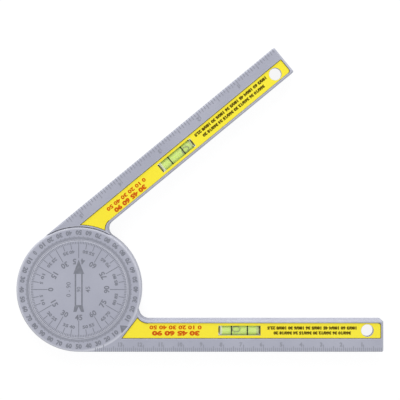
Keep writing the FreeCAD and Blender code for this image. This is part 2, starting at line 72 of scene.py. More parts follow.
print("frame loaded:", len(frame["nodes"]), "nodes")

# Everything is in metres. The pivot is the origin, the scale arm runs along +X with its
# ruler on -Y, and the dial arm is swung open with its ruler on the other side. "along" is
# the distance from the pivot down an arm, "across" the distance from its centre ray.
mm = 0.001
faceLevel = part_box("dial_disc")[1].z
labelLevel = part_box("scale_label")[1].z
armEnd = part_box("scale_arm")[1].x
rulerEdge = -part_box("scale_arm")[0].y
vialLow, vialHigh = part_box("scale_vial_barrel")
labelMiddle = -(vialLow.y + vialHigh.y) / 2
vialLevel = (vialLow.z + vialHigh.z) / 2
vialRadius = (vialHigh.z - vialLow.z) / 2
restOpening = -math.radians(frame["joints"][0]["range_deg"][0])
fixedBody = frame["joints"][0]["parent"]
swingBody = frame["joints"][0]["child"]


# Node graphs: each helper adds one node and gives back its output.
def startMaterial(name):
    material = bpy.data.materials.new(name)
    material.use_nodes = True
    tree = material.node_tree
    where = tree.nodes.new("ShaderNodeTexCoord").outputs["Object"]
    return material, tree, tree.nodes["Principled BSDF"], where


def addNoise(tree, where, size, detail=3.0):
    # size is the width of one blotch
    noise = tree.nodes.new("ShaderNodeTexNoise")
    noise.inputs["Scale"].default_value = 1 / size
    noise.inputs["Detail"].default_value = detail
    tree.links.new(where, noise.inputs["Vector"])
    return noise.outputs["Fac"]


def addStretch(tree, where, stretch, turn=0.0):
    mapping = tree.nodes.new("ShaderNodeMapping")
    mapping.inputs["Scale"].default_value = stretch
    mapping.inputs["Rotation"].default_value = (0, 0, turn)
    tree.links.new(where, mapping.inputs["Vector"])
    return mapping.outputs["Vector"]


def addRange(tree, value, fromLow, fromHigh, toLow, toHigh):
    remap = tree.nodes.new("ShaderNodeMapRange")
    for socket, number in (("From Min", fromLow), ("From Max", fromHigh),
                           ("To Min", toLow), ("To Max", toHigh)):
        remap.inputs[socket].default_value = number
    tree.links.new(value, remap.inputs["Value"])
    return remap.outputs["Result"]


def addMath(tree, kind, first, second):
    node = tree.nodes.new("ShaderNodeMath")
    node.operation = kind
    for socket, value in zip(node.inputs, (first, second)):
        if isinstance(value, (int, float)):
            socket.default_value = value
        else:
            tree.links.new(value, socket)
    return node.outputs["Value"]


def addBlend(tree, amount, first, second):
    mix = tree.nodes.new("ShaderNodeMix")
    mix.data_type = "RGBA"
    tree.links.new(amount, mix.inputs["Factor"])
    for socket, value in ((mix.inputs["A"], first), (mix.inputs["B"], second)):
        if isinstance(value, tuple):
            socket.default_value = (*value, 1)
        else:
            tree.links.new(value, socket)
    return mix.outputs["Result"]


def addBump(tree, shader, height, distance, strength=1.0):
    bump = tree.nodes.new("ShaderNodeBump")
    bump.inputs["Distance"].default_value = distance
    bump.inputs["Strength"].default_value = strength
    tree.links.new(height, bump.inputs["Height"])
    tree.links.new(bump.outputs["Normal"], shader.inputs["Normal"])


edgeMask = {"samples": 4, "sharp": 0.93}


def addEdgeMask(tree, radius):
    # 1 on sharp edges, 0 on flats: where the rounded normal leaves the true one
    rounded = tree.nodes.new("ShaderNodeBevel")
    rounded.samples = edgeMask["samples"]
    rounded.inputs["Radius"].default_value = radius
    true = tree.nodes.new("ShaderNodeNewGeometry")
    dot = tree.nodes.new("ShaderNodeVectorMath")
    dot.operation = "DOT_PRODUCT"
    tree.links.new(rounded.outputs["Normal"], dot.inputs[0])
    tree.links.new(true.outputs["Normal"], dot.inputs[1])
    return addRange(tree, dot.outputs["Value"], 1, edgeMask["sharp"], 0, 1)


def addSeenMask(tree):
    # 1 where the picture shows the surface itself, 0 where it only lights other things
    path = tree.nodes.new("ShaderNodeLightPath")
    seen = addMath(tree, "MAXIMUM", path.outputs["Is Camera Ray"], path.outputs["Is Glossy Ray"])
    return addMath(tree, "MAXIMUM", seen, path.outputs["Is Transmission Ray"])


def addBand(tree, distance, starts, full, fades, ends):
    # 1 between full and fades, falling to 0 at starts and ends
    rising = addRange(tree, distance, starts, full, 0, 1)
    return addMath(tree, "MULTIPLY", rising, addRange(tree, distance, fades, ends, 1, 0))


# Most of a noise's values lie in this span, so it is what the ranges below start from.
noiseSpan = (0.3, 0.7)


greyPlastic = {
    "colour": (0.425, 0.435, 0.515),
    "darker": (0.38, 0.39, 0.47),
    # painted highlight: the paler colour laid on sharp edges and bevels
    "edge": (0.72, 0.73, 0.80),
    # painted highlight: the paler colour of the rims round the ring and the dial
    "rimHighlight": (0.62, 0.63, 0.70),
    "cloud": 22 * mm,
    "cloudSpan": (0.35, 0.65),
    "speck": 0.6 * mm,
    "speckSpan": (0.3, 0.75),
    "speckAmount": 0.25,
    "edgeWidth": 0.45 * mm,
    "edgeHighlightPatch": 3 * mm,
    "edgeHighlightAmount": (0.3, 0.9),
    # where the painted highlight bands lie: their distances from the pivot, and the height from which a face
    # counts as raised
    "ringBand": (29.9 * mm, 30.6 * mm, 31.25 * mm, 31.35 * mm),
    "dialBand": (24.1 * mm, 24.3 * mm, 24.6 * mm, 24.7 * mm),
    "bandFoot": (8.0 * mm, 8.3 * mm),
    "rimHighlightPatch": 12 * mm,
    "rimHighlightAmount": (0.4, 0.8),
    "scratches": (45, 2600, 45),
    "scratchTurn": 0.6,
    "scratchSpan": (0.56, 0.7),
    "scratchDepth": 0.35,
    "scratchRough": 0.08,
    "rough": (0.42, 0.52),
    "gloss": 0.45,
    "grain": 0.22 * mm,
    "grainDepth": 0.004 * mm,
}


def addHandled(tree, where):
    # painted highlight: paler bands on the raised rims of the ring and round the dial, where the light
    # catches their edges
    apart = tree.nodes.new("ShaderNodeSeparateXYZ")
    tree.links.new(where, apart.inputs["Vector"])
    fromPivot = tree.nodes.new("ShaderNodeVectorMath")
    fromPivot.operation = "LENGTH"
    tree.links.new(addStretch(tree, where, (1, 1, 0)), fromPivot.inputs[0])
    bands = addMath(tree, "ADD", addBand(tree, fromPivot.outputs["Value"], *greyPlastic["ringBand"]),
                    addBand(tree, fromPivot.outputs["Value"], *greyPlastic["dialBand"]))
    raised = addRange(tree, apart.outputs["Z"], *greyPlastic["bandFoot"], 0, 1)
    patchy = addRange(tree, addNoise(tree, where, greyPlastic["rimHighlightPatch"]), *noiseSpan,
                      *greyPlastic["rimHighlightAmount"])
    return addMath(tree, "MULTIPLY", addMath(tree, "MULTIPLY", bands, raised), patchy)


def makeGreyPlastic():
    # moulded ABS: cloudy grey, eggshell grain, fine hairlines; painted highlights make the sharp edges and
    # the rims round the dial paler
    material, tree, shader, where = startMaterial("greyPlastic")
    clouds = addNoise(tree, where, greyPlastic["cloud"], 4)
    colour = addBlend(tree, addRange(tree, clouds, *greyPlastic["cloudSpan"], 0, 1),
                      greyPlastic["colour"], greyPlastic["darker"])
    speck = addNoise(tree, where, greyPlastic["speck"], 2)
    colour = addBlend(tree, addRange(tree, speck, *greyPlastic["speckSpan"], 0, greyPlastic["speckAmount"]),
                      colour, greyPlastic["darker"])
    # painted highlight on the sharp edges, in patches
    patchy = addRange(tree, addNoise(tree, where, greyPlastic["edgeHighlightPatch"]), *noiseSpan,
                      *greyPlastic["edgeHighlightAmount"])
    paintedEdgeHighlight = addMath(tree, "MULTIPLY", addEdgeMask(tree, greyPlastic["edgeWidth"]), patchy)
    colour = addBlend(tree, paintedEdgeHighlight, colour, greyPlastic["edge"])
    # painted highlight on the rims round the ring and the dial
    colour = addBlend(tree, addHandled(tree, where), colour, greyPlastic["rimHighlight"])
    tree.links.new(colour, shader.inputs["Base Color"])
    along = addStretch(tree, where, greyPlastic["scratches"], greyPlastic["scratchTurn"])
    scuffed = addRange(tree, addNoise(tree, along, 1, 2), *greyPlastic["scratchSpan"], 0, 1)
    rough = addMath(tree, "ADD", addRange(tree, clouds, *noiseSpan, *greyPlastic["rough"]),
                    addMath(tree, "MULTIPLY", scuffed, greyPlastic["scratchRough"]))
    tree.links.new(rough, shader.inputs["Roughness"])
    shader.inputs["Specular IOR Level"].default_value = greyPlastic["gloss"]
    grain = addNoise(tree, where, greyPlastic["grain"], 2)
    relief = addMath(tree, "SUBTRACT", grain, addMath(tree, "MULTIPLY", scuffed, greyPlastic["scratchDepth"]))
    addBump(tree, shader, relief, greyPlastic["grainDepth"])
    return material


yellowFilm = {
    "colour": (0.955, 0.835, 0.034),
    "warmer": (0.96, 0.80, 0.028),
    "fade": (0.94, 0.86, 0.16),
    "drift": 35 * mm,
    "driftSpan": (0.35, 0.7),
    "fadeWidth": 0.25 * mm,
    "fadeAmount": 0.6,
    "rub": (60, 1500, 60),
    "rubTurn": 0.3,
    "rubSpan": (0.4, 0.75),
    "rough": (0.30, 0.44),
    "gloss": 0.3,
    "coat": 0.12,
    "coatRough": 0.2,
    "ripple": 7 * mm,
    "rippleDepth": 0.03 * mm,
    "rippleStrength": 0.5,
}


def makeYellowFilm():
    # printed film: even ink with a slight warm drift, laminate sheen, die-cut edge a bit paler
    material, tree, shader, where = startMaterial("yellowFilm")
    drift = addRange(tree, addNoise(tree, where, yellowFilm["drift"], 2), *yellowFilm["driftSpan"], 0, 1)
    colour = addBlend(tree, drift, yellowFilm["colour"], yellowFilm["warmer"])
    faded = addMath(tree, "MULTIPLY", addEdgeMask(tree, yellowFilm["fadeWidth"]), yellowFilm["fadeAmount"])
    tree.links.new(addBlend(tree, faded, colour, yellowFilm["fade"]), shader.inputs["Base Color"])
    rub = addNoise(tree, addStretch(tree, where, yellowFilm["rub"], yellowFilm["rubTurn"]), 1)
    tree.links.new(addRange(tree, rub, *yellowFilm["rubSpan"], *yellowFilm["rough"]),
                   shader.inputs["Roughness"])
    shader.inputs["Specular IOR Level"].default_value = yellowFilm["gloss"]
    shader.inputs["Coat Weight"].default_value = yellowFilm["coat"]
    shader.inputs["Coat Roughness"].default_value = yellowFilm["coatRough"]
    addBump(tree, shader, addNoise(tree, where, yellowFilm["ripple"]), yellowFilm["rippleDepth"],
            yellowFilm["rippleStrength"])
    return material


vialTube = {
    "colours": ((0.77, 0.93, 0.33), (0.86, 0.98, 0.47)),
    "drawLines": (120, 2500, 2500),
    "lineSpan": (0.4, 0.7),
    "rough": (0.03, 0.09),
    "bend": 1.49,
    "gloss": 0.9,
    "alpha": 0.42,
}


def makeVialTube():
    # clear acrylic with faint draw lines along the tube
    material, tree, shader, where = startMaterial("vialTube")
    lines = addNoise(tree, addStretch(tree, where, vialTube["drawLines"]), 1, 2)
    tree.links.new(addBlend(tree, addRange(tree, lines, *vialTube["lineSpan"], 0, 1), *vialTube["colours"]),
                   shader.inputs["Base Color"])
    tree.links.new(addRange(tree, lines, *noiseSpan, *vialTube["rough"]), shader.inputs["Roughness"])
    shader.inputs["IOR"].default_value = vialTube["bend"]
    shader.inputs["Specular IOR Level"].default_value = vialTube["gloss"]
    shader.inputs["Alpha"].default_value = vialTube["alpha"]
    return material


screwSteel = {
    "colours": ((0.60, 0.61, 0.63), (0.52, 0.50, 0.46)),
    "bloom": 1.8 * mm,
    "bloomSpan": (0.35, 0.7),
    "streaks": (300, 3500, 300),
    "rough": (0.22, 0.38),
    "streakDepth": 0.004 * mm,
}


def makeScrewSteel():
    # zinc plate, finely streaked, with a faint warm bloom
    material, tree, shader, where = startMaterial("screwSteel")
    bloom = addRange(tree, addNoise(tree, where, screwSteel["bloom"]), *screwSteel["bloomSpan"], 0, 1)
    tree.links.new(addBlend(tree, bloom, *screwSteel["colours"]), shader.inputs["Base Color"])
    shader.inputs["Metallic"].default_value = 1.0
    streaks = addNoise(tree, addStretch(tree, where, screwSteel["streaks"]), 1, 2)
    tree.links.new(addRange(tree, streaks, *noiseSpan, *screwSteel["rough"]), shader.inputs["Roughness"])
    addBump(tree, shader, streaks, screwSteel["streakDepth"])
    return material


# Finishes of two tones in soft blotches, which vary the gloss too. Their relief is the
# blotches' own, or a finer grain's where one is given as a width and a detail.
mottled = {
    "vialStopper": {
        "colours": ((0.62, 0.63, 0.56), (0.52, 0.53, 0.46)),
        "blotch": (0.5 * mm, 3),
        "spread": (0.3, 0.7, 0, 1),
        "rough": (0.45, 0.6),
        "relief": 0.01 * mm,
    },
    # glue, dark yellow-brown and faintly cloudy
    "curedGlue": {
        "colours": ((0.36, 0.33, 0.17), (0.27, 0.25, 0.13)),
        "blotch": (0.7 * mm, 3),
        "spread": (0.3, 0.7, 0, 1),
        "rough": (0.2, 0.4),
        "relief": 0.02 * mm,
    },
    "softRubber": {
        "colours": ((0.018, 0.018, 0.019), (0.05, 0.05, 0.052)),
        "blotch": (2.5 * mm, 4),
        "spread": (0.35, 0.75, 0, 1),
        "rough": (0.7, 0.85),
        "grain": (0.3 * mm, 3),
        "relief": 0.01 * mm,
    },
    # dyed spirit, a little deeper in tone in places; a faint painted glow stands in for the light shining
    # through it
    "vialLiquid": {
        "colours": ((0.80, 1.0, 0.04), (0.70, 0.93, 0.03)),
        "blotch": (4 * mm, 2),
        "spread": (0.3, 0.7, 0, 0.7),
        "rough": (0.02, 0.06),
        "sockets": {"IOR": 1.36, "Alpha": 0.92, "Emission Color": (0.80, 1.0, 0.04, 1),
                    "Emission Strength": 0.18},
    },
    # painted shade: a dark ring stands for the bubble's edge, which bends the light away and so looks dark
    "paintedBubbleEdge": {
        "colours": ((0.006, 0.03, 0.004), (0.02, 0.07, 0.01)),
        "blotch": (0.9 * mm, 2),
        "spread": (0.35, 0.7, 0, 1),
        "rough": (0.05, 0.15),
        "sockets": {"Alpha": 0.97},
    },
}

# Inks are printed a little unevenly, fresh colour first; those on the labels lie dull
# under the laminate.
inks = {
    "greyInk": {"colours": ((0.185, 0.193, 0.232), (0.25, 0.26, 0.305)), "gloss": 0.5},
    "wornInk": {"colours": ((0.26, 0.268, 0.318), (0.32, 0.33, 0.39)), "gloss": 0.5},
    "redInk": {"colours": ((0.62, 0.095, 0.004), (0.70, 0.17, 0.006)), "gloss": 0.1},
    # the brown ink prints the tables, and also paints the shadow in the gap round the labels
    "brownInkAndGapShadow": {"colours": ((0.095, 0.066, 0.003), (0.17, 0.12, 0.006)), "gloss": 0.1},
    "vialInk": {"colours": ((0.008, 0.018, 0.003), (0.015, 0.03, 0.006)), "gloss": 0.5},
}
for name, ink in inks.items():
    mottled[name] = {
        "colours": ink["colours"],
        "blotch": (1.3 * mm, 3),
        "spread": (0.42, 0.75, 0, 0.8),
        "rough": (0.34, 0.5),
        "grain": (0.15 * mm, 2),
        "relief": 0.003 * mm,
        "sockets": {"Specular IOR Level": ink["gloss"]},
    }


def makeMottled(name):
    look = mottled[name]
    material, tree, shader, where = startMaterial(name)
    blotches = addNoise(tree, where, *look["blotch"])
    tree.links.new(addBlend(tree, addRange(tree, blotches, *look["spread"]), *look["colours"]),
                   shader.inputs["Base Color"])
    tree.links.new(addRange(tree, blotches, *noiseSpan, *look["rough"]), shader.inputs["Roughness"])
    for socket, value in look.get("sockets", {}).items():
        shader.inputs[socket].default_value = value
    if "relief" in look:
        grain = addNoise(tree, where, *look["grain"]) if "grain" in look else blotches
        addBump(tree, shader, grain, look["relief"])
    return material


mottledFinishes = {name: makeMottled(name) for name in mottled}
finishes = {
    "grey_plastic": makeGreyPlastic(),
    "yellow_film": makeYellowFilm(),
    "vial_tube": makeVialTube(),
    "vial_liquid": mottledFinishes["vialLiquid"],
    "vial_stopper": mottledFinishes["vialStopper"],
    "soft_rubber": mottledFinishes["softRubber"],
    "screw_steel": makeScrewSteel(),
}

for row in frame["record"]["subparts"]:
    node = frame["nodes"][row["node"]]
    node.data.materials.clear()
    node.data.materials.append(finishes[row["material_slot"]])
print("finishes given to the moulded, printed and glazed parts")


# Printed marks are thin closed plates, sunk a hair into the face that carries them.
inkLayer = {"proud": 0.02 * mm, "sunk": 0.01 * mm, "weld": 0.0005 * mm, "curveSteps": 2}
inkThick = inkLayer["proud"] + inkLayer["sunk"]
inkMiddle = Matrix.Translation((0, 0, (inkLayer["proud"] - inkLayer["sunk"]) / 2))


def armPlace(side, along, across, level, turn=0.0):
    # side -1 is the scale arm, +1 the dial arm swung open
    swing = Matrix.Rotation(restOpening, 4, "Z") if side > 0 else Matrix.Identity(4)
    place = Matrix.Translation((along, side * across, level))
    return swing @ place @ Matrix.Rotation(turn, 4, "Z")


def addBar(bm, place, length, width):
    # a plate centred on its place: length along its X, width along its Y
    shape = Matrix.Diagonal((length, width, inkThick, 1))
    bmesh.ops.create_cube(bm, size=1, matrix=place @ inkMiddle @ shape)


def raiseFaces(bm, faces):
    # from a flat sheet, sunk a hair, to a closed plate
    raised = bmesh.ops.extrude_face_region(bm, geom=faces, use_keep_orig=True)
    tops = [item for item in raised["geom"] if isinstance(item, bmesh.types.BMVert)]
    bmesh.ops.translate(bm, verts=tops, vec=(0, 0, inkThick))


def addPlate(bm, place, points):
    # a flat plate with the given corners, counter-clockwise
    corners = [bm.verts.new(place @ Vector((x, y, -inkLayer["sunk"]))) for x, y in points]
    raiseFaces(bm, [bm.faces.new(corners)])


textMeshes = {}


def textMesh(words, height, weight):
    # a mesh of the words, as tall as height, with its middle at the origin
    key = (words, height, weight)
    if key in textMeshes:
        return textMeshes[key]
    curve = bpy.data.curves.new(words, "FONT")
    curve.body = words
    curve.resolution_u = inkLayer["curveSteps"]
    curve.extrude = 1.0
    curve.offset = weight
    holder = bpy.data.objects.new(words, curve)
    bpy.context.scene.collection.objects.link(holder)
    bpy.context.view_layer.update()
    settled = holder.evaluated_get(bpy.context.evaluated_depsgraph_get())
    made = bpy.data.meshes.new_from_object(settled)
    bpy.data.objects.remove(holder)
    xs = [v.co.x for v in made.vertices]
    ys = [v.co.y for v in made.vertices]
    factor = height / (max(ys) - min(ys))
    centre = Matrix.Translation((-(min(xs) + max(xs)) / 2, -(min(ys) + max(ys)) / 2, 0))
    # the curve's body reaches from -1 to 1
    made.transform(inkMiddle @ Matrix.Diagonal((factor, factor, inkThick / 2, 1)) @ centre)
    textMeshes[key] = made
    return made


def addText(bm, place, words, height, weight, width=None):
    # width, where given, squeezes or stretches the words to it
    made = textMesh(words, height, weight).copy()
    if width is not None:
        xs = [v.co.x for v in made.vertices]
        made.transform(Matrix.Diagonal((width / (max(xs) - min(xs)), 1, 1, 1)))
    made.transform(place)
    bm.from_mesh(made)
    bpy.data.meshes.remove(made)


def textWidth(words, height, weight):
    xs = [v.co.x for v in textMesh(words, height, weight).vertices]
    return max(xs) - min(xs)


def finishPiece(name, bm, body, finish):
    bmesh.ops.remove_doubles(bm, verts=bm.verts, dist=inkLayer["weld"])
    bmesh.ops.recalc_face_normals(bm, faces=bm.faces)
    mesh = bpy.data.meshes.new(name)
    bm.to_mesh(mesh)
    bm.free()
    mesh.materials.append(mottledFinishes[finish])
    piece = bpy.data.objects.new(name, mesh)
    bpy.context.scene.collection.objects.link(piece)
    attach(piece, body)
    print(name, len(mesh.polygons), "faces")


def spoke(angle, radius, turn=0.0):
    # a place on the dial's face at that angle in degrees; its X axis points outwards
    return (Matrix.Rotation(math.radians(angle), 4, "Z") @ Matrix.Translation((radius, 0, faceLevel))
            @ Matrix.Rotation(turn, 4, "Z"))


def addSpokeLine(bm, angle, start, end, width):
    addBar(bm, spoke(angle, (start + end) / 2), end - start, width)


outerScale = {
    "tickCount": 360,
    "longEvery": 5,
    "inner": 25.05 * mm,
    "shortEnd": 26.3 * mm,
    "longEnd": 26.7 * mm,
    "tickWidth": 0.25 * mm,
    "numberRadius": 28.5 * mm,
    "numberHeight": 2.45 * mm,
    "numberWidth": 3.1 * mm,
    "numberWeight": 0.05,
    "zeroShare": 0.45,
    "zeroAngle": -40,
    "pointerTurn": -1.0,
    "pointerTip": 27.3 * mm,
    "pointerBase": 30.6 * mm,
    "pointerHalfWidth": 2.4 * mm,
}


def makeOuterScale():
    ticks = bmesh.new()
    for step in range(outerScale["tickCount"]):
        angle = step * 360 / outerScale["tickCount"]
        end = outerScale["longEnd"] if step % outerScale["longEvery"] == 0 else outerScale["shortEnd"]
        addSpokeLine(ticks, angle, outerScale["inner"], end, outerScale["tickWidth"])
    finishPiece("outerScaleTicks", ticks, fixedBody, "greyInk")
    numbers = bmesh.new()
    for angle in range(-170, 190, 10):
        # up to 90 and down to 0 again on either side of the pointer, which stands for one 0
        if angle == 0:
            continue
        value = 90 - abs(90 - abs(angle))
        place = spoke(outerScale["zeroAngle"] + angle, outerScale["numberRadius"], math.pi / 2)
        share = 1.0 if value else outerScale["zeroShare"]
        addText(numbers, place, str(value), outerScale["numberHeight"], outerScale["numberWeight"],
                share * outerScale["numberWidth"])
    finishPiece("outerScaleNumbers", numbers, fixedBody, "greyInk")
    pointer = bmesh.new()
    place = spoke(outerScale["zeroAngle"] + outerScale["pointerTurn"], 0)
    half = outerScale["pointerHalfWidth"]
    addPlate(pointer, place, [(outerScale["pointerTip"], 0), (outerScale["pointerBase"], -half),
                              (outerScale["pointerBase"], half)])
    finishPiece("outerScalePointer", pointer, fixedBody, "greyInk")


innerScale = {
    "outer": 24.0 * mm,
    # the degrees from one big figure, and from one small figure, to the next
    "numberEvery": (30, 10),
    # each kind of line: the degrees from one to the next, its start and its width
    "ticks": ((30, 15.6 * mm, 0.34 * mm), (10, 20.3 * mm, 0.34 * mm), (2, 22.8 * mm, 0.3 * mm)),
    "bigRadius": 14.0 * mm,
    "bigHeight": 2.9 * mm,
    "bigWeight": 0.035,
    "smallRadius": 19.0 * mm,
    "smallHeight": 1.7 * mm,
    "smallWidth": 2.8 * mm,
    "smallWeight": 0.045,
    "oneDigitShare": 0.4,
    "aside": 2.1 * mm,
}


def makeInnerScale():
    # 0 to 90 on both sides of a line across the dial; 45 stands at the arrow's two ends
    ticks = bmesh.new()
    numbers = bmesh.new()
    bigEvery, smallEvery = innerScale["numberEvery"]
    for step in range(0, 360, 2):
        angle = step if step <= 180 else step - 360
        value = 90 - abs(angle) // 2
        start, width = next(tick[1:] for tick in innerScale["ticks"] if step % tick[0] == 0)
        addSpokeLine(ticks, angle, start, innerScale["outer"], width)
        if step % bigEvery == 0:
            # the arrow's own line takes the room of the 45 at its tip
            if angle != 90:
                place = spoke(angle, innerScale["bigRadius"], math.pi / 2)
                addText(numbers, place, str(value), innerScale["bigHeight"], innerScale["bigWeight"])
        elif step % smallEvery == 0:
            place = spoke(angle, innerScale["smallRadius"], math.pi / 2)
            share = 1.0 if value > 9 else innerScale["oneDigitShare"]
            addText(numbers, place, str(value), innerScale["smallHeight"], innerScale["smallWeight"],
                    share * innerScale["smallWidth"])
    # there the two digits stand on either side of the line
    for digit, side in (("4", -1), ("5", 1)):
        aside = Matrix.Translation((side * innerScale["aside"], 0, 0))
        addText(numbers, spoke(90, innerScale["bigRadius"], math.pi / 2) @ aside, digit,
                innerScale["bigHeight"], innerScale["bigWeight"])
    finishPiece("innerScaleTicks", ticks, swingBody, "greyInk")
    finishPiece("innerScaleNumbers", numbers, swingBody, "greyInk")


dialArrow = {
    "tip": 15.0 * mm,
    "headBase": 7.8 * mm,
    "headHalfWidth": 2.7 * mm,
    "shaftHalfWidth": 2.0 * mm,
    "shaftLine": 0.75 * mm,
    "tailStart": -7.8 * mm,
    "tailEnd": -11.2 * mm,
    "tailHalfWidth": 2.7 * mm,
    "notch": 2.6 * mm,
    "notchHalfWidth": 1.2 * mm,
    "figures": (("0 - 90", -5.1 * mm, 2.3 * mm), ("45", 4.6 * mm, 2.3 * mm), ("90", 0.0, 2.0 * mm)),
    "figureWeight": 0.01,
}


def makeDialArrow():
    # head, two shaft lines and a swallow tail, along +Y through the pivot
    a = dialArrow
    bm = bmesh.new()
    place = Matrix.Translation((0, 0, faceLevel))
    addPlate(bm, place, [(-a["headHalfWidth"], a["headBase"]), (a["headHalfWidth"], a["headBase"]),
                         (0, a["tip"])])
    middle = a["shaftHalfWidth"] - a["shaftLine"] / 2
    length = a["headBase"] - a["tailStart"]
    for side in (-1, 1):
        centre = Matrix.Translation((side * middle, (a["headBase"] + a["tailStart"]) / 2, faceLevel))
        addBar(bm, centre, a["shaftLine"], length)
        points = [(side * a["shaftHalfWidth"], a["tailStart"]), (0, a["tailStart"]),
                  (0, a["tailEnd"] + a["notch"]), (side * a["notchHalfWidth"], a["tailEnd"]),
                  (side * a["tailHalfWidth"], a["tailEnd"])]
        addPlate(bm, place, points if side < 0 else points[::-1])
    # plain figures between the shaft's lines and on either side of them
    for words, x, height in a["figures"]:
        place = Matrix.Translation((x, 0, faceLevel)) @ Matrix.Rotation(math.pi / 2, 4, "Z")
        addText(bm, place, words, height, a["figureWeight"])
    finishPiece("dialArrow", bm, swingBody, "greyInk")


rulers = {
    "bevel": 0.6 * mm,
    "tickWidth": 0.4 * mm,
    "numberAcross": 3.75 * mm,
    "numberHeight": 2.2 * mm,
    "numberGap": 0.5 * mm,
    "numberWeight": 0.055,
    "firstBare": 14,
    # reach is how far from the arm's end a ruler runs; a tick is its step and its length
    "metric": {
        "pitch": 1 * mm,
        "reach": 144.2 * mm,
        "numberEvery": 10,
        "ticks": ((10, 3.7 * mm), (5, 2.9 * mm), (1, 2.1 * mm)),
    },
    "inch": {
        "pitch": 25.4 * mm / 16,
        "reach": 135.5 * mm,
        "numberEvery": 16,
        "ticks": ((16, 4.3 * mm), (8, 3.4 * mm), (4, 2.9 * mm), (2, 2.4 * mm), (1, 2.0 * mm)),
    },
}


def makeRuler(name, side, body, marks):
    bevel = rulers["bevel"]
    height = rulers["numberHeight"]
    weight = rulers["numberWeight"]
    bm = bmesh.new()
    for step in range(1, int(marks["reach"] / marks["pitch"]) + 1):
        along = armEnd - step * marks["pitch"]
        length = next(size for every, size in marks["ticks"] if step % every == 0)
        drawn = length - bevel
        across = rulerEdge - bevel - drawn / 2
        addBar(bm, armPlace(side, along, across, faceLevel), rulers["tickWidth"], drawn)
        # the tick runs on over the arm's bevelled edge
        down = armPlace(side, along, rulerEdge - bevel / 2, faceLevel - bevel / 2)
        addBar(bm, down @ Matrix.Rotation(-side * math.pi / 4, 4, "X"), rulers["tickWidth"],
               bevel * math.sqrt(2))
        number, rest = divmod(step, marks["numberEvery"])
        if rest == 0 and number < rulers["firstBare"]:
            # the digits stand on the ruler's edge, on the pivot's side of their line
            words = str(number)
            shift = textWidth(words, height, weight) / 2 + rulers["numberGap"]
            turn = math.pi if side > 0 else 0
            place = armPlace(side, along - shift, rulerEdge - rulers["numberAcross"], faceLevel, turn)
            addText(bm, place, words, height, weight)
    finishPiece(name, bm, body, "wornInk")


# Four rows of plain figures on each label. A row's place is its start and its end along
# the arm and its middle across it, in millimetres.
labelPrint = {
    "title": {"words": "30 45 60 90", "height": 2.65 * mm, "weight": 0.065, "ink": "redInk"},
    "subtitle": {"words": "0 10 20 30 40 50", "height": 2.05 * mm, "weight": 0.045, "ink": "redInk"},
    "upper": {"words": "180/3 60 180/4 45 180/5 36 180/6 30 180/8 22.5",
              "height": 1.75 * mm, "weight": 0.075, "ink": "brownInkAndGapShadow"},
    "lower": {"words": "360/10 36 360/12 30 360/15 24 360/18 20",
              "height": 1.75 * mm, "weight": 0.075, "ink": "brownInkAndGapShadow"},
    "scaleRows": {"title": (36.6, 60.4, 21.95), "subtitle": (35.3, 61.5, 19.05),
                  "upper": (94.3, 139.0, 19.35), "lower": (97.4, 136.2, 21.85)},
    "dialRows": {"title": (38.8, 58.7, 18.75), "subtitle": (36.2, 60.9, 21.6),
                 "upper": (93.6, 139.7, 22.3), "lower": (96.8, 136.5, 19.65)},
}


def makeLabelPrint(prefix, side, body, rows):
    for piece, ink in (("Title", "redInk"), ("Table", "brownInkAndGapShadow")):
        bm = bmesh.new()
        for row, (start, end, across) in rows.items():
            line = labelPrint[row]
            if line["ink"] == ink:
                # the rows read from the arms' far side: upside down in the arm's own frame
                place = armPlace(side, (start + end) / 2 * mm, across * mm, labelLevel, math.pi)
                addText(bm, place, line["words"], line["height"], line["weight"], (end - start) * mm)
        finishPiece(prefix + piece, bm, body, ink)


labelGapShadow = {
    "width": 0.2 * mm,
    "bareHalf": 3.6 * mm,
    "bareStart": 50 * mm,
    "endRim": 2.5 * mm,
    "weld": 0.001 * mm,
    "topNormal": 0.9,
}


def makeLabelBorder(name, side, label, body):
    # painted shadow: the dark line of the gap round the label, drawn as an inset rim of its own top face,
    # lifted a hair
    intoArm = Matrix.Rotation(-restOpening if side > 0 else 0, 4, "Z")
    bm = bmesh.new()
    bm.from_mesh(frame["nodes"][label].data)
    bmesh.ops.remove_doubles(bm, verts=bm.verts, dist=labelGapShadow["weld"])
    others = [face for face in bm.faces if face.normal.z < labelGapShadow["topNormal"]]
    bmesh.ops.delete(bm, geom=others, context="FACES")
    bmesh.ops.dissolve_faces(bm, faces=bm.faces[:])
    inset = bmesh.ops.inset_region(bm, faces=bm.faces[:], thickness=labelGapShadow["width"],
                                   use_boundary=True, use_even_offset=True)
    rim = set()
    for face in inset["faces"]:
        # the rims round the window and the hole stay bare
        spot = intoArm @ face.calc_center_median()
        aside = abs(spot.y - side * labelMiddle)
        inside = labelGapShadow["bareStart"] < spot.x < armEnd - labelGapShadow["endRim"]
        if aside > labelGapShadow["bareHalf"] or not inside:
            rim.add(face)
    bmesh.ops.delete(bm, geom=[face for face in bm.faces if face not in rim], context="FACES")
    bmesh.ops.translate(bm, verts=bm.verts, vec=(0, 0, -inkLayer["sunk"]))
    raiseFaces(bm, bm.faces[:])
    finishPiece(name, bm, body, "brownInkAndGapShadow")


